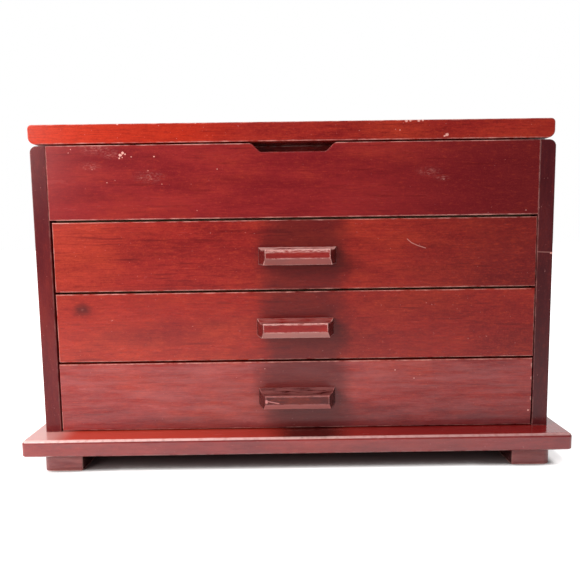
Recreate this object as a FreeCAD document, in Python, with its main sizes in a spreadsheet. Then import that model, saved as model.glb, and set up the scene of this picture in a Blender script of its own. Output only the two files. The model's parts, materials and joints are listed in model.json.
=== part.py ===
import FreeCAD, Part
import os
import re

import Sketcher

# Jewelry chest: a lidded tray over three drawers, on a plinth board with four block feet.
# Millimetres, +Z up, +X to the right of the front, +Y from the front to the back.
# The origin is the middle of the footprint, at the bottom of the feet.

DRAWERS = 3
FINGERS = 5
TRAY_COLUMNS = 3
RING_ROLLS = 9
SCREWS_PER_SIDE = 2
KNUCKLES = 3

# How far a cut runs past the face that it leaves by, and the angle of every screw head's cone
PAST = 1
HEAD_ANGLE = 90

# Closeness for comparing places in millimetres and volumes in cubic millimetres
SAME_PLACE = 1e-4
SAME_VOLUME = 1e-6

# Driving sizes, in millimetres and degrees
SIZES = {
    "Case": {
        "case_width": 326,
        "case_depth": 192,
        "side_thickness": 10,
        "side_top_radius": 4.2,
        "side_arris": 0.7,
        "back_thickness": 11,
        "back_rabbet": 5,
        "glue_gap": 0.1,
    },
    "Front": {
        "drawer_pitch": 45.2,
        "top_zone_height": 46.6,
        "front_gap": 1.3,
        "top_panel_thickness": 11,
        "top_panel_arris": 0.6,
        "tongue_length": 4,
        "tongue_thickness": 4,
        "tongue_setback": 3.5,
        "tongue_stop": 9,
        "notch_width": 41,
        "notch_depth": 5.4,
        "notch_slope": 5.3,
        "notch_lip_radius": 4,
        "notch_corner_radius": 3,
    },
    "Shelves": {
        "shelf_thickness": 4,
        "shelf_gap": 0.3,
        "dado_depth": 4,
    },
    "Plinth and feet": {
        "plinth_thickness": 10.5,
        "end_overhang": 9.3,
        "front_overhang": 16,
        "back_overhang": 8,
        "plinth_corner_radius": 3,
        "plinth_top_radius": 2.4,
        "plinth_bottom_chamfer": 0.8,
        "foot_height": 10,
        "foot_width": 25,
        "foot_depth": 25,
        "foot_end_inset": 12.3,
        "foot_front_inset": 3,
        "foot_outer_radius": 5,
        "foot_inner_radius": 1.2,
    },
    "Lid": {
        "lid_thickness": 11.9,
        "lid_gap": 1,
        "lid_shift": -0.8,
        "lid_lower_radius": 4.5,
        "lid_upper_radius": 2.7,
        "lid_arris": 0.9,
        "lid_opening": 95,
    },
    "Hinges": {
        "hinge_inset": 48,
        "hinge_length": 25,
        "hinge_axis_inset": 3.5,
        "barrel_radius": 2,
        "barrel_clearance": 0.4,
        "knuckle_gap": 0.15,
        "pin_radius": 0.8,
        "pin_clearance": 0.05,
        "leaf_depth": 6,
        "leaf_thickness": 1,
        "leaf_screw_setback": 3.9,
        "leaf_screw_spacing": 15,
    },
    "Mirror": {
        "frame_width": 14,
        "frame_drop": 5.5,
        "frame_bevel": 1.5,
        "frame_margin": 8,
        "glass_thickness": 3,
        "glass_rabbet": 4,
        "glass_gap": 0.3,
    },
    "Tray": {
        "liner_thickness": 1.2,
        "liner_gap": 0.2,
        "liner_corner_radius": 3,
        "tray_liner_drop": 8.5,
        "divider_thickness": 3.5,
        "divider_height": 24,
        "ring_pad_width": 92,
        "ring_pad_height": 22,
        "ring_roll_rise": 7,
        "ring_pad_gap": 0.3,
    },
    "Drawers": {
        "drawer_side_gap": 0.8,
        "drawer_run_gap": 0.3,
        "drawer_top_gap": 0.7,
        "drawer_rear_gap": 0.4,
        "drawer_front_thickness": 10,
        "drawer_front_arris": 0.8,
        "front_lap": 5,
        "drawer_side_thickness": 6,
        "drawer_back_thickness": 6,
        "bottom_thickness": 3,
        "groove_depth": 3,
        "groove_height": 4,
        "groove_play": 0.2,
        "drawer_liner_drop": 3,
        "drawer_shift_1": 0.5,
        "drawer_shift_2": 0.4,
        "drawer_shift_3": 0.1,
    },
    "Pulls": {
        "pull_width": 49.2,
        "pull_front_width": 39.7,
        "pull_depth": 15.6,
        "pull_height": 10.7,
        "pull_drop": 0.5,
        "pull_top_fall": 1,
        "pull_land": 1.3,
        "pull_cove_depth": 1.1,
        "pull_bevel_depth": 4.3,
        "pull_bevel_height": 4,
        "pull_arris": 0.35,
        "pull_screw_spacing": 24,
        "pull_shift_1": 1.3,
        "pull_shift_2": -0.4,
        "pull_shift_3": 0.4,
    },
    "Screws": {
        "screw_fit": 0.05,
        "pilot_spare": 0.5,
        "case_screw_diameter": 3.5,
        "case_screw_head": 7,
        "case_screw_length": 24,
        "case_screw_inset": 40,
        "foot_screw_length": 17,
        "foot_screw_recess": 1,
        "pull_screw_diameter": 3,
        "pull_screw_head": 5.6,
        "pull_screw_length": 17,
        "hinge_screw_diameter": 1.6,
        "hinge_screw_head": 3,
        "hinge_screw_length": 8,
    },
}

NAMES = {name for group in SIZES.values() for name in group}

# Levels and spans that follow from the driving sizes
PLINTH_DEPTH = "(case_depth + front_overhang + back_overhang)"
PLINTH_WIDTH = "(case_width + 2 * end_overhang)"
PLINTH_TOP = "(foot_height + plinth_thickness)"
CASE_FRONT = f"(front_overhang - {PLINTH_DEPTH} / 2)"
CASE_HEIGHT = f"({DRAWERS} * drawer_pitch + top_zone_height)"
CASE_TOP = f"({PLINTH_TOP} + {CASE_HEIGHT})"
HALF_INSIDE = "(case_width / 2 - side_thickness)"
BACK_INNER = "(case_depth - back_thickness)"
LID_BOTTOM = f"({CASE_TOP} + lid_gap)"
HINGE_Y = "(case_depth - hinge_axis_inset)"
HINGE_Z = f"({CASE_TOP} + lid_gap / 2)"
HINGE_SPACING = "(case_width - 2 * hinge_inset)"
HINGE_HALF = "(hinge_length / 2 + barrel_clearance)"
BEVEL_RISE = "(hinge_axis_inset * tan(lid_opening / 2))"
FRAME_HALF = f"({HALF_INSIDE} - frame_margin)"
FRAME_FRONT = "(top_panel_thickness + frame_margin)"
FRAME_BACK = f"({BACK_INNER} - frame_margin)"
TRAY_FLOOR_TOP = f"({DRAWERS} * drawer_pitch + shelf_thickness / 2)"
HALF_DRAWER = f"({HALF_INSIDE} - drawer_side_gap)"
FRONT_HEIGHT = "(drawer_pitch - front_gap)"
PULL_ON_FRONT = f"({FRONT_HEIGHT} / 2 - pull_drop)"
DRAWER_LENGTH = f"({BACK_INNER} - drawer_rear_gap)"
HALF_BOX_INSIDE = f"({HALF_DRAWER} - drawer_side_thickness)"
BOX_BACK_INNER = f"({DRAWER_LENGTH} - drawer_back_thickness)"
BOX_TOP = "(drawer_pitch - shelf_thickness / 2 - drawer_top_gap - front_gap / 2)"
TRAY_HALF = f"({HALF_INSIDE} - liner_gap)"
TRAY_FRONT = "(top_panel_thickness + liner_gap)"
TRAY_BACK = f"({BACK_INNER} - liner_gap)"
TRAY_BASE = f"({TRAY_FLOOR_TOP} + liner_thickness)"
RING_PAD_LEFT = f"(liner_thickness + ring_pad_gap - {TRAY_HALF})"
FIRST_DIVIDER = f"({RING_PAD_LEFT} + ring_pad_width + ring_pad_gap + divider_thickness / 2)"
LONG_DIVIDER_Y = f"(({TRAY_FRONT} + {TRAY_BACK}) / 2)"
COLUMN_STEP = f"(({TRAY_HALF} - liner_thickness - {FIRST_DIVIDER} + divider_thickness / 2) / {TRAY_COLUMNS})"
HEAD_HOLE = "(case_screw_head + 2 * screw_fit)"
CASE_SCREW_HOLE = "(case_screw_diameter + 2 * screw_fit)"
HINGE_SCREW_HOLE = "(hinge_screw_diameter + 2 * screw_fit)"
PULL_SCREW_HOLE = "(pull_screw_diameter + 2 * screw_fit)"

doc = FreeCAD.newDocument("JewelryChest")
sheet = doc.addObject("Spreadsheet::Sheet", "Sizes")
parts = []


def fill_sheet():
    """One row for each driving size, under a heading for its group."""
    row = 1
    for heading, sizes in SIZES.items():
        sheet.set(f"A{row}", heading)
        row += 1
        for name, size in sizes.items():
            sheet.set(f"A{row}", name.replace("_", " "))
            sheet.set(f"B{row}", str(size))
            sheet.setAlias(f"B{row}", name)
            row += 1
    doc.recompute()


def value(expression):
    """The number that an expression of driving sizes has now."""
    return float(sheet.evalExpression(expression))


def with_sheet(word):
    """A driving size gets its sheet's name before it; a function's name stays as it is."""
    return f"Sizes.{word[0]}" if word[0] in NAMES else word[0]


def bind(item, place, expression):
    """Tie a property or a sketch constraint to an expression of driving sizes."""
    item.setExpression(place, re.sub(r"[a-z][a-z0-9_]*", with_sheet, expression))


def new_body(label, x="0", y="0", z="0"):
    """A body whose own origin lies at the given place of the chest."""
    body = doc.addObject("PartDesign::Body", label)
    body.Label = label
    for axis, place in zip("xyz", (x, y, z)):
        bind(body, f"Placement.Base.{axis}", place)
    parts.append(body)
    return body


def origin_item(body, role):
    return next(item for item in body.Origin.OriginFeatures if item.Role == role)


def new_sketch(body, plane, level):
    """An empty sketch on an origin plane of the body, or parallel to it at a level."""
    sketch = body.newObject("Sketcher::SketchObject", "Outline")
    sketch.AttachmentSupport = [(origin_item(body, f"{plane}_Plane"), "")]
    sketch.MapMode = "FlatFace"
    bind(sketch, "AttachmentOffset.Base.z", f"-({level})" if plane == "XZ" else level)
    return sketch


def fix_point(sketch, geometry, position, u, v):
    """Hold a point of the sketch at two expressions, measured from the sketch's origin."""
    for kind, expression in (("DistanceX", u), ("DistanceY", v)):
        size = value(expression)
        number = sketch.addConstraint(Sketcher.Constraint(kind, -1, 1, geometry, position, size))
        bind(sketch, f"Constraints[{number}]", expression)


def outline(body, plane, *loops, level="0"):
    """Closed loops of corners. A third entry in a corner is how far the edge after it bows out."""
    sketch = new_sketch(body, plane, level)
    for corners in loops:
        first = sketch.GeometryCount
        count = len(corners)
        points = [FreeCAD.Vector(value(corner[0]), value(corner[1]), 0) for corner in corners]
        ends = []
        for number, corner in enumerate(corners):
            start, stop = points[number], points[(number + 1) % count]
            if len(corner) == 2:
                sketch.addGeometry(Part.LineSegment(start, stop))
                ends.append((1, 2))
                continue
            along = stop - start
            outward = FreeCAD.Vector(along.y, -along.x, 0).normalize()
            middle = (start + stop) / 2 + outward * value(corner[2])
            convex = value(corner[2]) > 0
            sketch.addGeometry(Part.Arc(start, middle, stop) if convex else Part.Arc(stop, middle, start))
            ends.append((1, 2) if convex else (2, 1))
        for number in range(count):
            after = (number + 1) % count
            join = ("Coincident", first + number, ends[number][1], first + after, ends[after][0])
            sketch.addConstraint(Sketcher.Constraint(*join))
        for number, corner in enumerate(corners):
            fix_point(sketch, first + number, ends[number][0], corner[0], corner[1])
            if len(corner) == 3:
                after = corners[(number + 1) % count]
                chord = f"(({after[0]} - ({corner[0]})) ^ 2 + ({after[1]} - ({corner[1]})) ^ 2)"
                radius = f"({chord} / (8 * abs({corner[2]})) + abs({corner[2]}) / 2)"
                size = value(radius)
                held = sketch.addConstraint(Sketcher.Constraint("Radius", first + number, size))
                bind(sketch, f"Constraints[{held}]", radius)
    doc.recompute()
    return sketch


def rectangle(u_low, u_high, v_low, v_high):
    return [(u_low, v_low), (u_high, v_low), (u_high, v_high), (u_low, v_high)]


def circles(body, plane, centres, diameter, level="0"):
    """Circles of one diameter at the given centres."""
    sketch = new_sketch(body, plane, level)
    for number, (u, v) in enumerate(centres):
        middle = FreeCAD.Vector(value(u), value(v), 0)
        sketch.addGeometry(Part.Circle(middle, FreeCAD.Vector(0, 0, 1), value(diameter) / 2))
        fix_point(sketch, number, 3, u, v)
        held = sketch.addConstraint(Sketcher.Constraint("Diameter", number, value(diameter)))
        bind(sketch, f"Constraints[{held}]", diameter)
    doc.recompute()
    return sketch


def faces_forward(sketch):
    """True where the sketch's normal points along a positive axis."""
    return sum(sketch.Placement.Rotation.multVec(FreeCAD.Vector(0, 0, 1))) > 0


def pad(body, sketch, length, towards=1, both=False):
    """Add material from the sketch, along the positive axis or the negative one."""
    feature = body.newObject("PartDesign::Pad", "Pad")
    feature.Profile = sketch
    bind(feature, "Length", length)
    feature.SideType = "Symmetric" if both else "One side"
    feature.Reversed = (towards > 0) != faces_forward(sketch)
    doc.recompute()
    return feature


def must_remove(body, feature, before):
    """A cut that misses the solid shows no error, so its volume is compared."""
    if body.Shape.Volume > before - SAME_VOLUME:
        raise RuntimeError(f"{body.Label}: {feature.Name} removes nothing")
    return feature


def pocket(body, sketch, depth=None, towards=1):
    """Cut from the sketch, to a depth along an axis, or right through both ways."""
    before = body.Shape.Volume
    feature = body.newObject("PartDesign::Pocket", "Pocket")
    feature.Profile = sketch
    if depth is None:
        feature.SideType = "Symmetric"
        feature.Type = "ThroughAll"
    else:
        bind(feature, "Length", depth)
        feature.Reversed = (towards > 0) == faces_forward(sketch)
    doc.recompute()
    return must_remove(body, feature, before)


def countersunk_holes(body, sketch, diameter, head, towards):
    """Through holes that start at the sketch, each with a countersink for its screw's head."""
    before = body.Shape.Volume
    feature = body.newObject("PartDesign::Hole", "Hole")
    feature.Profile = sketch
    feature.DepthType = "ThroughAll"
    feature.HoleCutType = "Countersink"
    bind(feature, "Diameter", diameter)
    bind(feature, "HoleCutDiameter", head)
    feature.HoleCutCountersinkAngle = HEAD_ANGLE
    feature.Reversed = (towards > 0) == faces_forward(sketch)
    body.Tip = feature
    doc.recompute()
    return must_remove(body, feature, before)


def turned(body, plane, corners):
    """Material turned about the vertical axis of a profile's own sketch."""
    feature = body.newObject("PartDesign::Revolution", "Turned")
    feature.Profile = outline(body, plane, corners)
    feature.ReferenceAxis = (feature.Profile[0], ["V_Axis"])
    feature.Angle = 360
    body.Tip = feature
    doc.recompute()
    return feature


def edges_on(body, **planes):
    """Names of the edges that lie in the given planes, such as x=0, z=12."""
    found = []
    for number, edge in enumerate(body.Shape.copy().Edges, 1):
        box = edge.BoundBox
        local = body.Placement.Base
        for axis, level in planes.items():
            place = level + getattr(local, axis)
            low, high = getattr(box, axis.upper() + "Min"), getattr(box, axis.upper() + "Max")
            if abs(low - place) > SAME_PLACE or abs(high - place) > SAME_PLACE:
                break
        else:
            found.append(f"Edge{number}")
    return found


def ease_edges(body, edges, kind, property_name, size):
    """A fillet or a chamfer along the named edges of the body's last feature."""
    feature = body.newObject(f"PartDesign::{kind}", kind)
    feature.Base = (feature.BaseFeature, sorted(set(edges)))
    bind(feature, property_name, size)
    body.Tip = feature
    doc.recompute()
    return feature


def round_edges(body, edges, radius):
    return ease_edges(body, edges, "Fillet", "Radius", radius)


def chamfer_edges(body, edges, size):
    return ease_edges(body, edges, "Chamfer", "Size", size)


def spread(body, features, steps):
    """Repeat features along one or two axes: each step is an axis, the whole span and a count."""
    feature = body.newObject("PartDesign::LinearPattern", "Spread")
    feature.Originals = features
    for suffix, (axis, span, count) in zip(("", "2"), steps):
        setattr(feature, f"Direction{suffix}", (origin_item(body, f"{axis}_Axis"), [""]))
        bind(feature, f"Length{suffix}", span)
        setattr(feature, f"Occurrences{suffix}", count)
    body.Tip = feature
    doc.recompute()
    return feature


def side_rows():
    """Heights of the middle of each shelf and of the tray floor, above the plinth."""
    return [f"{row} * drawer_pitch" for row in range(1, DRAWERS + 1)]


def case_screw_places():
    """How far the screws that hold one side board lie from the case's front."""
    step = f"((case_depth - 2 * case_screw_inset) / {SCREWS_PER_SIDE - 1})"
    return [f"(case_screw_inset + {number} * {step})" for number in range(SCREWS_PER_SIDE)]


# Plinth and feet


def plinth_board():
    body = new_body("plinth_board", z="foot_height")
    half_width, half_depth = f"{PLINTH_WIDTH} / 2", f"{PLINTH_DEPTH} / 2"
    board = outline(body, "XY", rectangle(f"-{half_width}", half_width, f"-{half_depth}", half_depth))
    pad(body, board, "plinth_thickness")
    corners = []
    for across in (-1, 1):
        for along in (-1, 1):
            corners += edges_on(body, x=across * value(half_width), y=along * value(half_depth))
    round_edges(body, corners, "plinth_corner_radius")
    round_edges(body, edges_on(body, z=value("plinth_thickness")), "plinth_top_radius")
    chamfer_edges(body, edges_on(body, z=0), "plinth_bottom_chamfer")
    across = "(case_width / 2 - side_thickness / 2)"
    rows = [f"({CASE_FRONT} + {along})" for along in case_screw_places()]
    places = [(f"{sign}{across}", row) for sign in ("-", "") for row in rows]
    sketch = circles(body, "XY", places, "case_screw_diameter")
    countersunk_holes(body, sketch, CASE_SCREW_HOLE, HEAD_HOLE, towards=1)
    centres = [foot_place(side, end) for side in (-1, 1) for end in (-1, 1)]
    pilots = circles(body, "XY", centres, CASE_SCREW_HOLE)
    pocket(body, pilots, "(foot_screw_length + foot_screw_recess - foot_height + pilot_spare)")


def foot_place(side, end):
    """Middle of a foot. side is -1 at the left and 1 at the right; end is -1 at the front, 1 behind."""
    across = f"({PLINTH_WIDTH} / 2 - foot_end_inset - foot_width / 2)"
    along = f"({PLINTH_DEPTH} / 2 - foot_front_inset - foot_depth / 2)"
    return f"{side} * {across}", f"{end} * {along}"


def foot(label, side, end):
    """A block foot, rounder at its outer corner, with a sunk hole for its screw."""
    x, y = foot_place(side, end)
    body = new_body(label, x=x, y=y)
    block = rectangle("-foot_width / 2", "foot_width / 2", "-foot_depth / 2", "foot_depth / 2")
    pad(body, outline(body, "XY", block), "foot_height")
    half_width, half_depth = value("foot_width / 2"), value("foot_depth / 2")
    outer = edges_on(body, x=side * half_width, y=end * half_depth)
    round_edges(body, outer, "foot_outer_radius")
    inner = []
    for over, back in ((-side, -end), (-side, end), (side, -end)):
        inner += edges_on(body, x=over * half_width, y=back * half_depth)
    round_edges(body, inner, "foot_inner_radius")
    pocket(body, circles(body, "XY", [("0", "0")], HEAD_HOLE), "foot_screw_recess")
    hole = circles(body, "XY", [("0", "0")], "case_screw_diameter", level="foot_screw_recess")
    countersunk_holes(body, hole, CASE_SCREW_HOLE, HEAD_HOLE, towards=1)


def feet():
    for side, across in ((-1, "left"), (1, "right")):
        for end, along in ((-1, "front"), (1, "rear")):
            foot(f"foot_{along}_{across}", side, end)


# Case


def rear_bevel(body, level, upward):
    """The slope from the hinge axis out to the back face, where lid and case meet when it stands open."""
    rise = BEVEL_RISE if upward else f"-{BEVEL_RISE}"
    base = f"({level})"
    past = f"(case_depth + {PAST})"
    slope = f"({base} + {rise} * (1 + {PAST} / hinge_axis_inset))"
    beyond = f"({base} - {rise})"
    wedge = [(HINGE_Y, base), (past, slope), (past, beyond), (HINGE_Y, beyond)]
    return pocket(body, outline(body, "YZ", wedge if not upward else wedge[::-1]))


def case_side(label, side):
    """A side board. It is drawn from its inner face outwards; side is -1 at the left, 1 at the right."""
    body = new_body(label, x=f"{HALF_INSIDE}" if side > 0 else f"-{HALF_INSIDE}", y=CASE_FRONT, z=PLINTH_TOP)
    board = outline(body, "YZ", rectangle("0", "case_depth", "0", CASE_HEIGHT))
    pad(body, board, "side_thickness", towards=side)
    outer, height = side * value("side_thickness"), value(CASE_HEIGHT)
    round_edges(body, edges_on(body, x=outer, z=height), "side_top_radius")
    bottom = edges_on(body, y=0, z=0)
    round_edges(body, [edge for edge in edges_on(body, y=0) if edge not in bottom], "side_arris")
    rear_bevel(body, CASE_HEIGHT, upward=False)
    rabbet = outline(body, "YZ", rectangle(BACK_INNER, "case_depth", "0", CASE_HEIGHT))
    pocket(body, rabbet, "back_rabbet", towards=side)
    dados = []
    for row in side_rows():
        floor = row == side_rows()[-1]
        front = "top_panel_thickness" if floor else "(drawer_front_thickness + shelf_gap)"
        low, high = f"({row} - shelf_thickness / 2)", f"({row} + shelf_thickness / 2 + glue_gap)"
        dados.append(rectangle(front, BACK_INNER, low, high))
    pocket(body, outline(body, "YZ", *dados), "dado_depth", towards=side)
    low, high = f"({DRAWERS} * drawer_pitch + front_gap / 2)", f"({CASE_HEIGHT} - tongue_stop + glue_gap)"
    tongue = rectangle("tongue_setback", "(tongue_setback + tongue_thickness + glue_gap)", low, high)
    pocket(body, outline(body, "YZ", tongue), "(tongue_length + glue_gap)", towards=side)
    middle = "side_thickness / 2" if side > 0 else "-side_thickness / 2"
    places = [(middle, along) for along in case_screw_places()]
    pilots = circles(body, "XY", places, CASE_SCREW_HOLE)
    pocket(body, pilots, "(case_screw_length - plinth_thickness + pilot_spare)")


def hinge_cuts(body, level, upward, shift="0"):
    """Mortise, barrel trench and pilot holes of both hinges. The board's middle may lie to one side."""
    towards = 1 if upward else -1
    axis = f"({level} - lid_gap / 2)" if upward else f"({level} + lid_gap / 2)"
    row = f"({HINGE_Y} - leaf_screw_setback)"
    for sign in "-+":
        middle = f"({sign}{HINGE_SPACING} / 2 - {shift})"
        half = "(hinge_length / 2 + glue_gap)"
        front = f"({HINGE_Y} - leaf_depth - glue_gap)"
        mortise = rectangle(f"({middle} - {half})", f"({middle} + {half})", front, HINGE_Y)
        pocket(body, outline(body, "XY", mortise, level=level), "leaf_thickness", towards)
        end = f"({middle} - {HINGE_HALF})"
        trench = circles(body, "YZ", [(HINGE_Y, axis)], "2 * (barrel_radius + barrel_clearance)", level=end)
        pocket(body, trench, f"2 * {HINGE_HALF}")
        holes = [(f"({middle} {step} leaf_screw_spacing / 2)", row) for step in "-+"]
        pilots = circles(body, "XY", holes, HINGE_SCREW_HOLE, level=level)
        pocket(body, pilots, "(hinge_screw_length + pilot_spare)", towards)


def case_back():
    body = new_body("case_back", y=CASE_FRONT, z=PLINTH_TOP)
    half = f"({HALF_INSIDE} + back_rabbet - glue_gap)"
    board = outline(body, "XZ", rectangle(f"-{half}", half, "0", CASE_HEIGHT), level=BACK_INNER)
    pad(body, board, "back_thickness")
    rear_bevel(body, CASE_HEIGHT, upward=False)
    hinge_cuts(body, CASE_HEIGHT, upward=False)


def top_front_panel():
    level = f"({PLINTH_TOP} + {DRAWERS} * drawer_pitch + front_gap / 2)"
    body = new_body("top_front_panel", y=CASE_FRONT, z=level)
    top = "(top_zone_height - front_gap / 2)"
    low = f"({top} - notch_depth)"
    half, wide, narrow = HALF_INSIDE, "(notch_width / 2 + notch_slope)", "notch_width / 2"
    corners = [(f"-{half}", "0"), (half, "0"), (half, top), (wide, top), (narrow, low)]
    corners += [(f"-{narrow}", low), (f"-{wide}", top), (f"-{half}", top)]
    pad(body, outline(body, "XZ", corners), "top_panel_thickness")
    lips = []
    for side in (-1, 1):
        lips += edges_on(body, x=side * value(wide), z=value(top))
    round_edges(body, lips, "notch_lip_radius")
    hollows = []
    for side in (-1, 1):
        hollows += edges_on(body, x=side * value(narrow), z=value(low))
    round_edges(body, hollows, "notch_corner_radius")
    ends = edges_on(body, y=0, x=value(half)) + edges_on(body, y=0, x=-value(half))
    round_edges(body, [edge for edge in edges_on(body, y=0) if edge not in ends], "top_panel_arris")
    reach = f"({half} + tongue_length)"
    tongue = rectangle(f"-{reach}", reach, "tongue_setback", "(tongue_setback + tongue_thickness)")
    pad(body, outline(body, "XY", tongue), f"({top} - tongue_stop)")


def shelf(label, row, front):
    """A thin board whose ends lie in the side boards' dados and whose rear edge meets the back."""
    body = new_body(label, y=CASE_FRONT, z=f"({PLINTH_TOP} + {row} - shelf_thickness / 2)")
    half = f"({HALF_INSIDE} + dado_depth - glue_gap)"
    pad(body, outline(body, "XY", rectangle(f"-{half}", half, front, BACK_INNER)), "shelf_thickness")


def shelves():
    rows = side_rows()
    setback = "(drawer_front_thickness + shelf_gap)"
    shelf("drawer_shelf_lower", rows[0], setback)
    shelf("drawer_shelf_upper", rows[1], setback)
    shelf("tray_floor", rows[2], "top_panel_thickness")


# Lid tray


def liner(body, half, front, back, low, high):
    """A thin flocked tray that lines a box, open at the top."""
    block = outline(body, "XY", rectangle(f"-{half}", half, front, back), level=low)
    pad(body, block, f"({high} - {low})")
    across = f"({half} - liner_thickness)"
    near, far = f"({front} + liner_thickness)", f"({back} - liner_thickness)"
    inside = outline(body, "XY", rectangle(f"-{across}", across, near, far), level=high)
    pocket(body, inside, f"({high} - {low} - liner_thickness)", towards=-1)
    corners = []
    for side in (-1, 1):
        for along in (near, far):
            corners += edges_on(body, x=side * value(across), y=value(along))
    round_edges(body, corners, "liner_corner_radius")


def tray_liner():
    body = new_body("tray_liner", y=CASE_FRONT, z=PLINTH_TOP)
    top = f"({CASE_HEIGHT} - tray_liner_drop)"
    liner(body, TRAY_HALF, TRAY_FRONT, TRAY_BACK, TRAY_FLOOR_TOP, top)


def divider_x(number):
    return f"({FIRST_DIVIDER} + {number} * {COLUMN_STEP})"


def tray_long_divider():
    """Runs from the first cross divider to the right wall, slotted from above for the others."""
    middle = f"({CASE_FRONT} + {LONG_DIVIDER_Y})"
    body = new_body("tray_divider_long", y=middle, z=f"({PLINTH_TOP} + {TRAY_BASE})")
    left = f"({FIRST_DIVIDER} + divider_thickness / 2)"
    right = f"({TRAY_HALF} - liner_thickness - glue_gap)"
    board = outline(body, "XZ", rectangle(left, right, "0", "divider_height"))
    pad(body, board, "divider_thickness", both=True)
    half = "(divider_thickness / 2 + glue_gap)"
    slots = []
    for number in range(1, TRAY_COLUMNS):
        low, high = f"({divider_x(number)} - {half})", f"({divider_x(number)} + {half})"
        slots.append(rectangle(low, high, "divider_height / 2", f"(divider_height + {PAST})"))
    pocket(body, outline(body, "XZ", *slots))


def tray_cross_divider(number):
    """Runs from the front wall to the back wall, slotted from below where it crosses the long one."""
    label, level = f"tray_divider_cross_{number + 1}", f"({PLINTH_TOP} + {TRAY_BASE})"
    body = new_body(label, x=divider_x(number), y=CASE_FRONT, z=level)
    front = f"({TRAY_FRONT} + liner_thickness + glue_gap)"
    back = f"({TRAY_BACK} - liner_thickness - glue_gap)"
    board = outline(body, "YZ", rectangle(front, back, "0", "divider_height"))
    pad(body, board, "divider_thickness", both=True)
    if number:
        half = "(divider_thickness / 2 + glue_gap)"
        low, high = f"({LONG_DIVIDER_Y} - {half})", f"({LONG_DIVIDER_Y} + {half})"
        pocket(body, outline(body, "YZ", rectangle(low, high, f"-{PAST}", "divider_height / 2")))


def ring_roll_pad():
    """A foam block covered in velvet, its top a row of rolls with a slit between each two."""
    body = new_body("ring_roll_pad", x=RING_PAD_LEFT, y=CASE_FRONT, z=f"({PLINTH_TOP} + {TRAY_BASE})")
    front = f"({TRAY_FRONT} + liner_thickness + ring_pad_gap)"
    back = f"({TRAY_BACK} - liner_thickness - ring_pad_gap)"
    crease = "(ring_pad_height - ring_roll_rise)"
    step = f"(({back} - {front}) / {RING_ROLLS})"
    corners = [(front, "0"), (back, "0")]
    for number in range(RING_ROLLS):
        corners.append((f"({back} - {number} * {step})", crease, "ring_roll_rise"))
    corners.append((front, crease))
    pad(body, outline(body, "YZ", corners), "ring_pad_width")
    uprights = []
    for across in (0, value("ring_pad_width")):
        for along in (value(front), value(back)):
            uprights += edges_on(body, x=across, y=along)
    round_edges(body, uprights, "liner_corner_radius")


# Lid, mirror and hinges


def lid_panel():
    body = new_body("lid_panel", x="lid_shift", y=CASE_FRONT, z=LID_BOTTOM)
    half = "case_width / 2"
    board = outline(body, "XZ", rectangle(f"-{half}", half, "0", "lid_thickness"))
    pad(body, board, "case_depth")
    reach, top = value(half), value("lid_thickness")
    round_edges(body, edges_on(body, x=-reach, z=0) + edges_on(body, x=reach, z=0), "lid_lower_radius")
    round_edges(body, edges_on(body, x=-reach, z=top) + edges_on(body, x=reach, z=top), "lid_upper_radius")
    round_edges(body, edges_on(body, y=0), "lid_arris")
    rear_bevel(body, "0", upward=True)
    hinge_cuts(body, "0", upward=True, shift="lid_shift")


def mirror_glass():
    body = new_body("mirror_glass", x="lid_shift", y=CASE_FRONT, z=LID_BOTTOM)
    edge = "(frame_width - glass_rabbet + glass_gap)"
    half = f"({FRAME_HALF} - {edge})"
    plate = rectangle(f"-{half}", half, f"({FRAME_FRONT} + {edge})", f"({FRAME_BACK} - {edge})")
    pad(body, outline(body, "XY", plate), "glass_thickness", towards=-1)


def frame_strip(label, runs, outer, inwards):
    """One mitred strip of the mirror's frame, rabbeted over the glass. It runs along X or along Y."""
    body = new_body(label, x="lid_shift", y=CASE_FRONT, z=LID_BOTTOM)
    lip = "-(glass_thickness + glass_gap)"
    profile = [
        ("0", "0"),
        ("0", "-frame_drop"),
        ("(frame_width - frame_bevel)", "-frame_drop"),
        ("frame_width", "(frame_bevel - frame_drop)"),
        ("frame_width", lip),
        ("(frame_width - glass_rabbet)", lip),
        ("(frame_width - glass_rabbet)", "0"),
    ]
    corners = [(f"({outer} {inwards} {across})", height) for across, height in profile]
    if runs == "X":
        pad(body, outline(body, "YZ", corners), f"2 * {FRAME_HALF}", both=True)
        ends = [(f"-{FRAME_HALF}", outer, "+", inwards), (FRAME_HALF, outer, "-", inwards)]
    else:
        pad(body, outline(body, "XZ", corners, level=FRAME_FRONT), f"({FRAME_BACK} - {FRAME_FRONT})")
        ends = [(outer, FRAME_FRONT, inwards, "+"), (outer, FRAME_BACK, inwards, "-")]
    waste = []
    for x, y, x_inwards, y_inwards in ends:
        far_x, far_y = f"({x} {x_inwards} 2 * frame_width)", f"({y} {y_inwards} 2 * frame_width)"
        waste.append([(x, y), (far_x, far_y), (x, far_y) if runs == "X" else (far_x, y)])
    pocket(body, outline(body, "XY", *waste))


def mirror_frame():
    frame_strip("mirror_frame_front", "X", FRAME_FRONT, "+")
    frame_strip("mirror_frame_rear", "X", FRAME_BACK, "-")
    frame_strip("mirror_frame_left", "Y", f"-{FRAME_HALF}", "+")
    frame_strip("mirror_frame_right", "Y", FRAME_HALF, "-")


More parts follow.
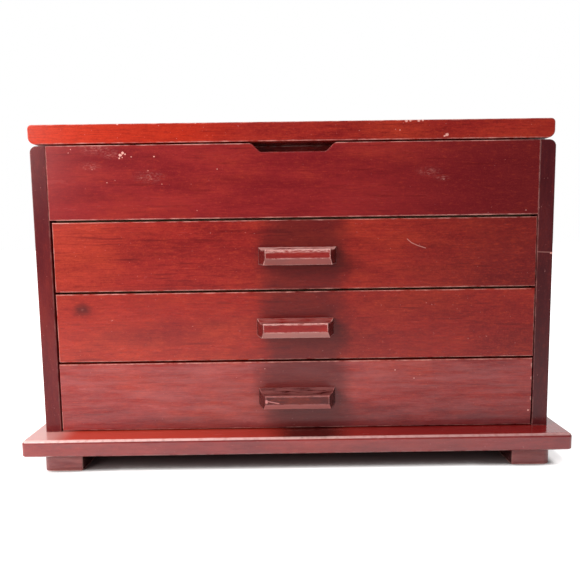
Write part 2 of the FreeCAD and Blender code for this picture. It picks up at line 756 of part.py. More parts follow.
def hinge_leaf(label, x, upward):
    """A leaf with its knuckles: the outer ones on the case, the ones between them on the lid."""
    body = new_body(label, x=x, y=f"({CASE_FRONT} + {HINGE_Y})", z=HINGE_Z)
    towards, face = (1, "lid_gap / 2") if upward else (-1, "-lid_gap / 2")
    half = "hinge_length / 2"
    plate = outline(body, "XY", rectangle(f"-{half}", half, "-leaf_depth", "0"), level=face)
    pad(body, plate, "leaf_thickness", towards)
    barrel = circles(body, "YZ", [("0", "0")], "2 * barrel_radius", level=f"-{half}")
    pad(body, barrel, "hinge_length")
    pocket(body, circles(body, "YZ", [("0", "0")], "2 * (pin_radius + pin_clearance)"))
    reach = "(barrel_radius + barrel_clearance)"
    gaps = []
    for knuckle in range(0 if upward else 1, KNUCKLES, 2):
        low = f"({knuckle} * hinge_length / {KNUCKLES} - {half} - knuckle_gap / 2)"
        high = f"({knuckle + 1} * hinge_length / {KNUCKLES} - {half} + knuckle_gap / 2)"
        gaps.append(rectangle(low, high, f"-{reach}", reach))
    pocket(body, outline(body, "XY", *gaps))
    holes = [(f"{sign}leaf_screw_spacing / 2", "-leaf_screw_setback") for sign in "-+"]
    sketch = circles(body, "XY", holes, "hinge_screw_diameter", level=face)
    countersunk_holes(body, sketch, HINGE_SCREW_HOLE, "(hinge_screw_head + 2 * screw_fit)", towards)


def hinge_pin(label, x):
    """A pin through all the knuckles, its ends flush with theirs."""
    body = new_body(label, x=x, y=f"({CASE_FRONT} + {HINGE_Y})", z=HINGE_Z)
    pad(body, circles(body, "YZ", [("0", "0")], "2 * pin_radius"), "hinge_length", both=True)


def hinges():
    for side, sign in (("left", "-"), ("right", "")):
        x = f"{sign}{HINGE_SPACING} / 2"
        hinge_leaf(f"hinge_case_leaf_{side}", x, upward=False)
        hinge_leaf(f"hinge_lid_leaf_{side}", x, upward=True)
        hinge_pin(f"hinge_pin_{side}", x)


# Drawers


def drawer_level(number):
    """The bottom edge of a drawer front. Drawer 1 is the top one."""
    return f"({PLINTH_TOP} + {DRAWERS - number} * drawer_pitch + front_gap / 2)"


def box_bottom(number):
    """The lower edge of a drawer's sides, above the front's own lower edge."""
    runner = "0" if number == DRAWERS else "shelf_thickness / 2"
    return f"({runner} + drawer_run_gap - front_gap / 2)"


def drawer_body(label, number, x="0"):
    place = f"(drawer_shift_{number} + {x})"
    return new_body(f"drawer_{number}_{label}", x=place, y=CASE_FRONT, z=drawer_level(number))


def groove_rows(number):
    """Lower and upper edge of the groove that holds the drawer's bottom."""
    low = f"({box_bottom(number)} + groove_height)"
    return low, f"({low} + bottom_thickness + groove_play)"


def finger_rows(number, first):
    """Every other one of the rows into which the corner joint divides the box's height."""
    step = f"(({BOX_TOP} - {box_bottom(number)}) / {FINGERS})"
    for row in range(first, FINGERS, 2):
        yield f"({box_bottom(number)} + {row} * {step})", f"({box_bottom(number)} + {row + 1} * {step})"


def drawer_front(number):
    body = drawer_body("front", number)
    board = outline(body, "XZ", rectangle(f"-{HALF_DRAWER}", HALF_DRAWER, "0", FRONT_HEIGHT))
    pad(body, board, "drawer_front_thickness")
    round_edges(body, edges_on(body, y=0), "drawer_front_arris")
    low, high = f"({box_bottom(number)} - glue_gap)", f"({BOX_TOP} + glue_gap)"
    past = f"({HALF_DRAWER} + {PAST})"
    laps = [rectangle(HALF_BOX_INSIDE, past, low, high)]
    laps.append(rectangle(f"-{past}", f"-{HALF_BOX_INSIDE}", low, high))
    rear = "drawer_front_thickness"
    pocket(body, outline(body, "XZ", *laps, level=rear), "front_lap", towards=-1)
    groove = rectangle(f"-{HALF_BOX_INSIDE}", HALF_BOX_INSIDE, *groove_rows(number))
    pocket(body, outline(body, "XZ", groove, level=rear), "groove_depth", towards=-1)
    places = [f"(pull_shift_{number} {sign} pull_screw_spacing / 2)" for sign in "-+"]
    sketch = circles(body, "XZ", [(x, PULL_ON_FRONT) for x in places], "pull_screw_diameter", level=rear)
    countersunk_holes(body, sketch, PULL_SCREW_HOLE, "(pull_screw_head + 2 * screw_fit)", towards=-1)


def drawer_side(label, number, side):
    """A drawer side with the bottom's groove and its fingers of the rear corner joint."""
    body = drawer_body(label, number, HALF_BOX_INSIDE if side > 0 else f"-{HALF_BOX_INSIDE}")
    front = "(drawer_front_thickness - front_lap)"
    board = outline(body, "YZ", rectangle(front, DRAWER_LENGTH, box_bottom(number), BOX_TOP))
    pad(body, board, "drawer_side_thickness", towards=side)
    past = f"({DRAWER_LENGTH} + {PAST})"
    gaps = [rectangle(BOX_BACK_INNER, past, low, high) for low, high in finger_rows(number, 1)]
    pocket(body, outline(body, "YZ", *gaps))
    near, far = "(drawer_front_thickness - groove_depth)", f"({BOX_BACK_INNER} + groove_depth)"
    groove = rectangle(near, far, *groove_rows(number))
    pocket(body, outline(body, "YZ", groove), "groove_depth", towards=side)


def drawer_back(number):
    body = drawer_body("back", number)
    board = rectangle(f"-{HALF_DRAWER}", HALF_DRAWER, box_bottom(number), BOX_TOP)
    pad(body, outline(body, "XZ", board, level=BOX_BACK_INNER), "drawer_back_thickness")
    past = f"({HALF_DRAWER} + {PAST})"
    gaps = []
    for low, high in finger_rows(number, 0):
        gaps.append(rectangle(HALF_BOX_INSIDE, past, low, high))
        gaps.append(rectangle(f"-{past}", f"-{HALF_BOX_INSIDE}", low, high))
    pocket(body, outline(body, "XZ", *gaps))
    groove = rectangle(f"-{HALF_BOX_INSIDE}", HALF_BOX_INSIDE, *groove_rows(number))
    pocket(body, outline(body, "XZ", groove, level=BOX_BACK_INNER), "groove_depth")


def drawer_bottom(number):
    body = drawer_body("bottom", number)
    held = "(groove_depth - groove_play)"
    half = f"({HALF_BOX_INSIDE} + {held})"
    panel = rectangle(f"-{half}", half, f"(drawer_front_thickness - {held})", f"({BOX_BACK_INNER} + {held})")
    pad(body, outline(body, "XY", panel, level=groove_rows(number)[0]), "bottom_thickness")


def drawer_liner(number):
    body = drawer_body("liner", number)
    front, back = "(drawer_front_thickness + liner_gap)", f"({BOX_BACK_INNER} - liner_gap)"
    low = f"({groove_rows(number)[0]} + bottom_thickness)"
    liner(body, f"({HALF_BOX_INSIDE} - liner_gap)", front, back, low, f"({BOX_TOP} - drawer_liner_drop)")


def pull_body(label, number, x="0", y="0"):
    place = f"(drawer_shift_{number} + pull_shift_{number} + {x})"
    height = f"({drawer_level(number)} + {PULL_ON_FRONT})"
    return new_body(f"drawer_{number}_{label}", x=place, y=f"({CASE_FRONT} + {y})", z=height)


def drawer_pull(number):
    """A length of moulding: a shallow cove on top, a flat face and a bevel below, its ends cut to taper."""
    body = pull_body("pull", number)
    top, bottom = "pull_height / 2", "-pull_height / 2"
    face_top = "(pull_height / 2 - pull_top_fall)"
    moulding = [
        ("(pull_bevel_depth - pull_depth)", bottom),
        ("0", bottom),
        ("0", top),
        ("-pull_land", top, "-pull_cove_depth"),
        ("(pull_land - pull_depth)", face_top),
        ("-pull_depth", face_top),
        ("-pull_depth", "(pull_bevel_height - pull_height / 2)"),
    ]
    pad(body, outline(body, "YZ", moulding), "pull_width", both=True)
    wide, narrow = "pull_width / 2", "pull_front_width / 2"
    front = "-pull_depth"
    waste = []
    for sign in ("", "-"):
        waste.append([(f"{sign}{wide}", "0"), (f"{sign}{narrow}", front), (f"{sign}{wide}", front)])
    pocket(body, outline(body, "XY", *waste))
    round_edges(body, edges_on(body, y=value(front)), "pull_arris")
    holes = [(f"{sign}pull_screw_spacing / 2", "0") for sign in "-+"]
    pilots = circles(body, "XZ", holes, PULL_SCREW_HOLE)
    pocket(body, pilots, "(pull_screw_length - drawer_front_thickness + pilot_spare)", towards=-1)


def drawers():
    for number in range(1, DRAWERS + 1):
        drawer_front(number)
        drawer_side("side_left", number, -1)
        drawer_side("side_right", number, 1)
        drawer_back(number)
        drawer_bottom(number)
        drawer_liner(number)
        drawer_pull(number)
        body = pull_body("pull_screws", number, x="-pull_screw_spacing / 2", y="drawer_front_thickness")
        screw = screw_shape(body, "XY", "-", "pull_screw")
        spread(body, [screw], [("X", "pull_screw_spacing", 2)])


# Screws


def screw_shape(body, plane, sign, kind, length=None):
    """A countersunk screw with its head at the body's origin, pointing up or down the profile's plane."""
    shank, head, end = f"{kind}_diameter", f"{kind}_head", f"{sign}{length or kind + '_length'}"
    neck = f"{sign}({head} - {shank}) / 2"
    profile = [("0", "0"), (f"{head} / 2", "0"), (f"{shank} / 2", neck), (f"{shank} / 2", end), ("0", end)]
    return turned(body, plane, profile)


def plinth_screws():
    """Up through the plinth into the side boards."""
    across = "(case_width - side_thickness)"
    first = f"({CASE_FRONT} + case_screw_inset)"
    body = new_body("plinth_screws", x=f"-{across} / 2", y=first, z="foot_height")
    screw = screw_shape(body, "XZ", "", "case_screw")
    rows = ("Y", "(case_depth - 2 * case_screw_inset)", SCREWS_PER_SIDE)
    spread(body, [screw], [("X", across, 2), rows])


def foot_screws():
    """One up through each foot into the plinth, its head sunk in the foot."""
    x, y = foot_place(-1, -1)
    body = new_body("foot_screws", x=x, y=y, z="foot_screw_recess")
    screw = screw_shape(body, "XZ", "", "case_screw", length="foot_screw_length")
    across = f"({PLINTH_WIDTH} - 2 * foot_end_inset - foot_width)"
    along = f"({PLINTH_DEPTH} - 2 * foot_front_inset - foot_depth)"
    spread(body, [screw], [("X", across, 2), ("Y", along, 2)])


def hinge_screws(label, upward):
    x = f"-({HINGE_SPACING} + leaf_screw_spacing) / 2"
    y = f"({CASE_FRONT} + {HINGE_Y} - leaf_screw_setback)"
    face = "lid_gap / 2" if upward else "-lid_gap / 2"
    body = new_body(label, x=x, y=y, z=f"({HINGE_Z} + {face})")
    screw = screw_shape(body, "XZ", "" if upward else "-", "hinge_screw")
    spread(body, [screw], [("X", "leaf_screw_spacing", 2), ("X", HINGE_SPACING, 2)])


fill_sheet()
plinth_board()
feet()
shelves()
case_side("case_side_left", -1)
case_side("case_side_right", 1)
case_back()
top_front_panel()
tray_liner()
tray_long_divider()
for column in range(TRAY_COLUMNS):
    tray_cross_divider(column)
ring_roll_pad()
lid_panel()
mirror_glass()
mirror_frame()
hinges()
drawers()
plinth_screws()
foot_screws()
hinge_screws("hinge_case_screws", upward=False)
hinge_screws("hinge_lid_screws", upward=True)

for item in doc.Objects:
    if "Invalid" in item.State or "Error" in item.State:
        raise RuntimeError(f"{item.Label}: {item.State}")
os.makedirs("parts", exist_ok=True)
for body in parts:
    if body.Shape.isNull() or not body.Shape.isValid():
        raise RuntimeError(f"{body.Label} has no valid shape")
    body.Shape.exportStep(f"parts/{body.Label}.step")
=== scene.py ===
"""The looks of the jewelry chest: camera, studio, finishes, soft ring pad and screws."""
import json
import math
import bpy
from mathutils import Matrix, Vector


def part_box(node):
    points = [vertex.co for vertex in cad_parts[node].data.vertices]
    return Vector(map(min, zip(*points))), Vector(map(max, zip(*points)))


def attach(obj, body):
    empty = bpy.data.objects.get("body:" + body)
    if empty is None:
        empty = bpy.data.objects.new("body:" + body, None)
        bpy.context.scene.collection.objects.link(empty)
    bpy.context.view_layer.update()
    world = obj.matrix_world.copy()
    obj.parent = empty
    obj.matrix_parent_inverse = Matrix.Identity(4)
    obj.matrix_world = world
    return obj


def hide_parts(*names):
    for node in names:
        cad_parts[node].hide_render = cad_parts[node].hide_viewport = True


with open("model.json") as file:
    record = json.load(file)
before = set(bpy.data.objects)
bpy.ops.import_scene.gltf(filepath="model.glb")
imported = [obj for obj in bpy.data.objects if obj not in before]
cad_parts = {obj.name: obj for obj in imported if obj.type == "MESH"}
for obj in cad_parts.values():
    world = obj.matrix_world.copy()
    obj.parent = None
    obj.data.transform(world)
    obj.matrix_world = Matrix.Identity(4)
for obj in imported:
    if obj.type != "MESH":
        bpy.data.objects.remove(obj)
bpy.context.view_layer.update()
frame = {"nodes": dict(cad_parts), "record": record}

from types import SimpleNamespace

import bpy
from mathutils import Matrix, Vector, noise

MM = 0.001
NODES = frame["nodes"]


def srgb(red, green, blue):
    """A linear colour with alpha, from the eight-bit values of a picture."""
    def linear(value):
        value /= 255
        return value / 12.92 if value <= 0.04045 else ((value + 0.055) / 1.055) ** 2.4
    return (linear(red), linear(green), linear(blue), 1.0)


def grey(value, blue=0.0):
    """A linear grey with alpha, a little bluer if asked."""
    return (value, value, value + blue, 1.0)


def link(thing):
    bpy.context.scene.collection.objects.link(thing)
    return thing


# Node trees
SPOT_CELLS = (1500,) * 3
SCUFF_CELLS = (700, 700, 1600)
# The painted shade around a pull: the cells of its cloudiness and its half sizes.
PULL_SHADE_CELLS = (60,) * 3
PULL_SHADE_SIZE = (34 * MM, 1.0, 60 * MM)


class Shader:
    """A material or world and its node tree, with one short call per node."""

    def __init__(self, owner, output="ShaderNodeOutputMaterial"):
        owner.use_nodes = True
        self.owner = owner
        self.tree = owner.node_tree
        self.tree.nodes.clear()
        self.output = self.add(output)
        self.coordinates = self.add("ShaderNodeTexCoord")
        self.place = self.coordinates.outputs["Object"]

    def feed(self, socket, value):
        if isinstance(value, bpy.types.NodeSocket):
            self.tree.links.new(value, socket)
        else:
            socket.default_value = value

    def add(self, kind, inputs=None, **settings):
        node = self.tree.nodes.new(kind)
        for key, value in settings.items():
            setattr(node, key, value)
        for key, value in (inputs or {}).items():
            self.feed(node.inputs[key], value)
        return node

    def math(self, operation, *values, clamp=False):
        node = self.add("ShaderNodeMath", operation=operation, use_clamp=clamp)
        for socket, value in zip(node.inputs, values):
            self.feed(socket, value)
        return node.outputs[0]

    def vector(self, operation, *values):
        node = self.add("ShaderNodeVectorMath", operation=operation)
        for socket, value in zip(node.inputs, values):
            self.feed(socket, value)
        return node.outputs["Value" if operation in ("LENGTH", "DISTANCE", "DOT_PRODUCT") else "Vector"]

    def parts(self, vector):
        """The three numbers of a vector."""
        return self.add("ShaderNodeSeparateXYZ", {"Vector": vector}).outputs

    def times(self, product, *values):
        """The product of all the values."""
        for value in values:
            product = self.math("MULTIPLY", product, value)
        return product

    def plus(self, value, factor, base):
        """A value times a factor, added to a base."""
        return self.math("MULTIPLY_ADD", value, factor, base)

    def most(self, values):
        """The largest of several masks."""
        result = values[0]
        for value in values[1:]:
            result = self.math("MAXIMUM", result, value)
        return result

    def mix(self, amount, first, second):
        node = self.add("ShaderNodeMix", data_type="RGBA")
        self.feed(node.inputs[0], amount)
        self.feed(node.inputs[6], first)
        self.feed(node.inputs[7], second)
        return node.outputs[2]

    def tinted(self, colour, tint, *masks):
        """A colour with a tint laid over it, as strongly as the product of the masks."""
        return self.mix(self.times(*masks), colour, tint)

    def noise(self, scale, seed=0.0, detail=2.0, roughness=0.5):
        """Noise of 0 to 1, stretched by a scale for each axis, in cells per metre."""
        stretched = self.add(
            "ShaderNodeMapping",
            {"Vector": self.place, "Location": (seed, seed * 1.7, seed * 2.3), "Scale": scale},
        )
        texture = self.add(
            "ShaderNodeTexNoise",
            {"Vector": stretched.outputs[0], "Scale": 1.0, "Detail": detail, "Roughness": roughness},
        )
        return texture.outputs[0]

    def band(self, value, start, end):
        """0 at start and 1 at end, turning smoothly; start may be the larger."""
        node = self.add(
            "ShaderNodeMapRange",
            {"Value": value, "From Min": start, "From Max": end},
            interpolation_type="SMOOTHSTEP",
        )
        return node.outputs[0]

    def span(self, value, start, end):
        """The same for a length in metres, between two places in millimetres."""
        return self.band(value, start * MM, end * MM)

    def offset(self, centre):
        """The way here from a place in millimetres."""
        return self.vector("SUBTRACT", self.place, tuple(MM * value for value in centre))

    def reach(self, centre, size):
        """1 on an ellipsoid around a place, given with its half sizes in metres, and less inside it."""
        return self.vector("LENGTH", self.vector("DIVIDE", self.offset(centre), size))

    def spot(self, centre, size, raggedness=0.5):
        """1 inside a ragged spot, given with its half sizes in millimetres."""
        reach = self.reach(centre, tuple(MM * value for value in size))
        ragged = self.plus(self.noise(SPOT_CELLS, 3.1), raggedness * 2, -raggedness)
        return self.band(self.math("ADD", reach, ragged), 1.15, 0.75)

    def scuff(self, centre, size):
        """A faint rubbed patch, made of fine strokes."""
        reach = self.reach(centre, tuple(MM * value for value in size))
        strokes = self.band(self.noise(SCUFF_CELLS, 5.3, 3, 0.7), 0.42, 0.72)
        return self.times(self.band(reach, 1.1, 0.1), strokes)

    def scratch(self, start, end, width):
        """1 inside a straight scratch between two points, in millimetres."""
        along = (Vector(end) - Vector(start)) * MM
        offset = self.offset(start)
        travelled = self.vector("DOT_PRODUCT", offset, tuple(along))
        part = self.math("MULTIPLY", travelled, 1 / along.length_squared, clamp=True)
        on_line = self.add("ShaderNodeVectorMath", {"Vector": tuple(along), "Scale": part}, operation="SCALE")
        away = self.vector("LENGTH", self.vector("SUBTRACT", offset, on_line.outputs["Vector"]))
        return self.span(away, width, 0.4 * width)

    def painted_pull_shade(self, centre):
        """1 where shade and a dark reflection are painted above and below a pull, fading out around it."""
        cloudy = self.plus(self.noise(PULL_SHADE_CELLS, 8.0, 3, 0.6), 0.5, -0.25)
        return self.band(self.math("ADD", self.reach(centre, PULL_SHADE_SIZE), cloudy), 1.05, 0.55)

    def arris_distance(self, node, end_give):
        """Metres from the nearest arris of a node's box; the end arrises are moved out by end_give mm."""
        low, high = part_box(node)
        half = (high - low) / 2
        away = self.vector("ABSOLUTE", self.vector("SUBTRACT", self.place, tuple((low + high) / 2)))
        x, y, z = self.parts(self.vector("SUBTRACT", (half.x + end_give * MM, half.y, half.z), away))
        upper = self.math("MAXIMUM", x, y)
        return self.math("MAXIMUM", self.math("MINIMUM", x, y), self.math("MINIMUM", upper, z))

    def edge_mask(self, width):
        """1 on rounded and sharp edges, found from how far a bevel in millimetres would turn the surface."""
        bevel = self.add("ShaderNodeBevel", {"Radius": width * MM}, samples=6)
        plain = self.add("ShaderNodeNewGeometry").outputs["Normal"]
        return self.band(self.vector("DOT_PRODUCT", bevel.outputs[0], plain), 0.995, 0.93)

    def finish(self, colour, roughness, height, distance, bump=0.4, **constants):
        """The surface itself: a Principled shader with its bump; constants go on its own sockets."""
        bumped = self.add("ShaderNodeBump", {"Height": height, "Strength": bump, "Distance": distance})
        inputs = {"Base Color": colour, "Roughness": roughness, "Normal": bumped.outputs[0]}
        inputs.update({name.replace("_", " "): value for name, value in constants.items()})
        surface = self.add("ShaderNodeBsdfPrincipled", inputs)
        self.feed(self.output.inputs["Surface"], surface.outputs[0])
        return self.owner


def new_shader(name):
    return Shader(bpy.data.materials.new(name))


def grain_scale(axis, along, across):
    scale = [across] * 3
    scale["XYZ".index(axis)] = along
    return tuple(scale)


# Red lacquered wood
DEEP = srgb(130, 26, 27)
LIGHT = srgb(161, 40, 34)
ORANGE = srgb(208, 74, 43)
STREAK = srgb(92, 14, 18)
WORN = srgb(232, 165, 154)
# Pale wear on the pulls, also used as painted light from the floor.
PALE_WEAR_AND_LIGHT = srgb(255, 204, 196)
DUST = srgb(220, 150, 145)
# Painted shade and dark reflection around the pulls.
PULL_SHADE = srgb(74, 24, 26)
# Painted reflection of the pale floor.
PAINTED_FLOOR_REFLECTION = srgb(205, 150, 152)
# Painted light, glare and shade on the plinth's top.
TOP_LIT = srgb(236, 88, 68)
TOP_GLARE = srgb(252, 196, 190)
TOP_SHADE = srgb(44, 10, 14)
# Painted shade on faces that look towards the middle.
INNER_SHADE = srgb(36, 14, 16)
# Painted shade on faces that look to either side.
END_SHADE = srgb(58, 18, 20)
KNOT_RING = srgb(62, 16, 20)
KNOT_HEART = srgb(170, 100, 90)
KNOT_SIZE = (8.5 * MM, 20 * MM, 6.2 * MM)

# What a look may set, and its plain value. Places and widths are in millimetres, strengths go from 0 to 1.
PLAIN_LACQUER = dict(
    deep=DEEP, light=LIGHT,   # the two stains that the figure mixes
    grain=1.0,                # strength of the grain
    washes=(),                # painted light and shade that comes up from one x to another: (start, end, strength, tint)
    haze=0.0,                 # a painted reflection of the pale floor, in pale clouds on faces that don't look up
    top_stain=None,           # painted reflection on a face that looks up, with painted light and glare at the left and painted shade in the middle
    low_shade=None,           # painted shade that comes up towards the bottom: (start, end, strength, tint)
    dark_inner=0.0,           # painted shade on the faces that look towards the middle
    dark_ends=0.0,            # painted shade on the faces that look to either side
    knot=None,                # the place of a knot
    pull=None,                # the place of a pull, with painted shade and dark reflection around it
    wear=1.0, wear_width=1.25, end_give=0.0,   # wear along the arrises of the piece's box
    edges=0.0, edge_width=0.9,                 # wear on every edge
    worn_top=0.0, worn_under=0.0,              # wear on the slopes that look up, and painted light from the floor on those that look down
    arris_line=0.0,           # a painted highlight on a rounding under a face that looks up, brightest at the left
    marks=None,               # a function that gives more masks of wear
    # the tint of the wear, also used for the painted highlight and floor light
    worn_tint=WORN,
    specular=0.24, coat=0.10,
)


def wood_textures(s, axis, seed):
    """Noises drawn out along the grain, the place, and how far the surface looks up or sideways."""
    def drawn(along, across, step, detail, roughness):
        return s.noise(grain_scale(axis, along, across), seed + step, detail, roughness)

    x, y, z = s.parts(s.place)
    sideways, _, upward = s.parts(s.add("ShaderNodeNewGeometry").outputs["Normal"])
    return SimpleNamespace(
        x=x, y=y, z=z, sideways=sideways, upward=upward,
        ends=s.band(s.math("ABSOLUTE", sideways), 0.25, 0.55),
        figure=drawn(14, 60, 0, 5, 0.7),
        patch=drawn(10, 26, 5, 5, 0.75),
        mottle=drawn(230, 720, 7, 4, 0.7),
        speckle=drawn(900, 1500, 8, 2, 0.6),
        fine=drawn(60, 1500, 9, 3, 0.6),
        bands=drawn(26, 420, 13, 2, 0.5),
        pores=drawn(150, 2600, 17, 1, 0.5),
        cloud=drawn(30, 260, 21, 4, 0.7),
        specks=s.noise((900,) * 3, seed + 25, 1, 0.5),
        uneven=s.noise((260,) * 3, seed + 31, 3, 0.7),
        kept=s.noise((110,) * 3, seed + 33, 3, 0.6),
        rubbed=drawn(90, 420, 35, 4, 0.7),
    )


def wandering(s, wood, value, reach):
    """A coordinate that wanders with the figure by so many millimetres."""
    return s.plus(s.math("SUBTRACT", wood.figure, 0.5), reach * MM, value)


def stained_and_lit(s, wood, look):
    """The stain: broad figure and patches, painted light and shade along the front, then ever finer grain."""
    colour = s.mix(s.band(wood.figure, 0.32, 0.68), look.deep, look.light)
    colour = s.tinted(colour, ORANGE, s.band(wood.patch, 0.42, 0.74), 0.42 * look.grain)
    # Painted light and shade: brighter tints towards the left, darker ones towards the right.
    for start, end, strength, tint in look.washes:
        colour = s.tinted(colour, tint, s.span(wandering(s, wood, wood.x, 60), start, end), strength)
    for texture, start, end, strength, tint in (
        (wood.mottle, 0.50, 0.78, 0.36, ORANGE),
        (wood.mottle, 0.50, 0.24, 0.36, STREAK),
        (wood.speckle, 0.50, 0.80, 0.26, ORANGE),
        (wood.speckle, 0.50, 0.20, 0.30, STREAK),
        (wood.bands, 0.60, 0.76, 0.55, STREAK),
        (wood.fine, 0.40, 0.75, 0.35, STREAK),
        (wood.pores, 0.66, 0.80, 0.45, STREAK),
    ):
        colour = s.tinted(colour, tint, s.band(texture, start, end), strength * look.grain)
    return colour


def painted_top_light(s, wood, colour, stain):
    """The plinth's top: a painted reflection lit at the left, a painted glare at the left front corner, and
    painted shade under the middle.
    """
    top = s.band(wood.upward, 0.6, 0.9)
    lit = s.tinted(stain, TOP_LIT, s.span(wood.x, 90, -110), 0.8)
    lit = s.tinted(lit, TOP_GLARE, s.span(wood.x, -140, -158), s.span(wood.y, -30, -88), 0.75)
    colour = s.tinted(colour, lit, top, 0.85)
    from_middle = s.math("ABSOLUTE", s.math("SUBTRACT", wood.x, 9 * MM))
    return s.tinted(colour, TOP_SHADE, top, s.span(from_middle, 30, 8), 0.8)


def shaded(s, wood, look, colour):
    """What lies over the stain: a painted floor reflection, painted light, glare and shade, a knot, painted
    shade around a pull, and dust.
    """
    # Pale clouds on faces that don't look up: a painted reflection of the floor.
    if look.haze:
        clouded = s.times(s.band(wood.cloud, 0.2, 0.8), s.band(wood.upward, 0.8, 0.3))
        colour = s.tinted(colour, PAINTED_FLOOR_REFLECTION, clouded, look.haze)
    # Painted light, glare and shade on faces that look up.
    if look.top_stain:
        colour = painted_top_light(s, wood, colour, look.top_stain)
    # Painted shade towards the bottom, less of it at the left.
    if look.low_shade:
        start, end, strength, tint = look.low_shade
        low = s.span(wandering(s, wood, wood.z, 20), start, end)
        colour = s.tinted(colour, tint, low, s.span(wood.x, -150, -60), strength)
    # Painted shade on the faces that look towards the middle.
    if look.dark_inner:
        inner = s.band(s.times(wood.sideways, s.times(wood.x, -6.8)), 0.3, 0.8)
        colour = s.tinted(colour, INNER_SHADE, inner, look.dark_inner)
    # Painted shade on the faces that look to either side.
    if look.dark_ends:
        colour = s.tinted(colour, END_SHADE, wood.ends, look.dark_ends)
    if look.knot:
        rings = s.plus(wood.mottle, 0.5, s.reach(look.knot, KNOT_SIZE))
        colour = s.tinted(colour, KNOT_RING, s.band(rings, 1.25, 0.45), 0.72)
        colour = s.tinted(colour, KNOT_HEART, s.band(rings, 0.38, 0.22), 0.40)
    # Painted shade and dark reflection around a pull.
    if look.pull:
        colour = s.tinted(colour, PULL_SHADE, s.painted_pull_shade(look.pull), 0.6)
    return s.tinted(colour, DUST, s.band(wood.specks, 0.765, 0.82), 0.6)


def wear_and_painted_light_mask(s, wood, look, node):
    """1 where the lacquer is rubbed through, and where a pale highlight and floor light are painted on it."""
    distance = s.plus(wood.uneven, 0.9 * MM, s.arris_distance(node, look.end_give))
    arrises = s.span(distance, look.wear_width, 0.5 * look.wear_width)
    masks = [s.times(arrises, s.band(wood.kept, 0.30, 0.62), 0.8 * look.wear)]
    if look.edges:
        broken = s.band(wood.uneven, 0.30, 0.56)
        if look.dark_ends:
            broken = s.times(broken, s.plus(wood.ends, -0.75, 1.0))
        masks.append(s.times(s.edge_mask(look.edge_width), broken, look.edges))
    if look.worn_top or look.worn_under:
        rubbed = s.band(wood.rubbed, 0.35, 0.60)
        masks.append(s.times(s.band(wood.upward, 0.15, 0.45), rubbed, look.worn_top))
        # Painted light from the floor on slopes that look down.
        masks.append(s.times(s.band(wood.upward, -0.15, -0.45), look.worn_under))
    # A painted highlight along a rounding, brightest at the left and broken up by noise.
    if look.arris_line:
        rounding = s.times(s.band(wood.upward, 0.42, 0.62), s.band(wood.upward, 0.995, 0.95))
        fading = s.plus(s.span(wood.x, 175, -150), 0.5, 0.5)
        rubbed = s.plus(s.band(wood.uneven, 0.25, 0.60), 0.4, 0.6)
        masks.append(s.times(rounding, fading, rubbed, look.arris_line))
    if look.marks:
        masks += look.marks(s)
    return s.most(masks)


def lacquered(node, axis, seed, **own):
    """Stained wood under a satin lacquer: blotches, fine grain, pores, dust and rubbed arrises, with the
    painted light, shade, reflections and highlights that its look asks for.
    """
    look = SimpleNamespace(**{**PLAIN_LACQUER, **own})
    s = new_shader(node + "_lacquer")
    wood = wood_textures(s, axis, seed)
    worn_and_lit = wear_and_painted_light_mask(s, wood, look, node)
    colour = s.mix(worn_and_lit, shaded(s, wood, look, stained_and_lit(s, wood, look)), look.worn_tint)
    roughness = s.plus(worn_and_lit, 0.25, s.plus(wood.figure, 0.12, 0.20))
    height = wood.uneven
    for texture, depth in ((wood.fine, 0.25), (wood.pores, 0.35), (worn_and_lit, 0.6)):
        height = s.plus(texture, -depth, height)
    return s.finish(
        colour, roughness, height, 0.12 * MM, 0.35,
        Specular_IOR_Level=look.specular, Coat_Weight=look.coat, Coat_Roughness=0.15,
    )


# Small marks of use, in millimetres on the part
FRONT = -92.0
PULL_FRONT = -107.6
NICK = 0.5

# Nicks as (x, z, scale), scuffs as (x, z, size)
PANEL_NICKS = (
    (-107.0, 196.4, 1.9), (-105.4, 197.8, 1.8), (-104.0, 197.0, 1.2), (-107.6, 194.6, 1.2),
    (-105.8, 195.0, 0.8), (-100.2, 195.4, 0.8), (-86.1, 195.3, 0.9), (-90.1, 186.8, 0.6),
    (-124.8, 187.9, 0.5), (-115.9, 179.8, 0.6), (-110.8, 181.2, 0.4), (-81.8, 178.5, 0.5),
    (-47.3, 187.2, 0.6), (-137.5, 200.3, 0.6), (-139.0, 198.2, 0.6), (145.2, 159.4, 0.6),
    (-60.5, 162.0, 0.5), (93.6, 179.2, 0.6),
)
PANEL_SCUFFS = (
    (-122.0, 201.0, 14.0), (-112.0, 197.0, 9.0), (-126.0, 190.0, 8.0),
    (84.0, 184.0, 9.0), (92.0, 180.0, 6.0), (-90.0, 183.0, 12.0),
)
LID_NICKS = (
    (70.0, 214.9, 1.9), (72.4, 215.0, 1.5), (77.6, 215.0, 2.0), (80.2, 215.1, 1.2), (66.1, 209.3, 0.8),
    (95.1, 206.2, 2.0), (93.6, 205.4, 1.3), (-108.0, 215.2, 1.2), (-60.0, 215.2, 1.0),
)
DRAWER_3_NICKS = ((63.8, 58.5, 0.8), (76.1, 53.0, 0.8), (150.3, 30.7, 1.2), (-20.0, 60.5, 0.6))
DRAWER_1_CURVE = ((71.0, 142.4), (73.6, 140.1), (77.4, 138.3), (82.6, 136.6))
DRAWER_3_CHIPS = ((60.5, 1.6), (52.0, 1.0), (38.5, 1.4))


def nicks(s, places):
    return [s.spot((x, FRONT, z), (NICK * scale, 1.2, NICK * scale * 0.9), 0.55) for x, z, scale in places]


def line(s, start, end, width, level=FRONT):
    """A scratch between two (x, z) places on the front."""
    return s.scratch((start[0], level, start[1]), (end[0], level, end[1]), width)


def lid_marks(s):
    return nicks(s, LID_NICKS)


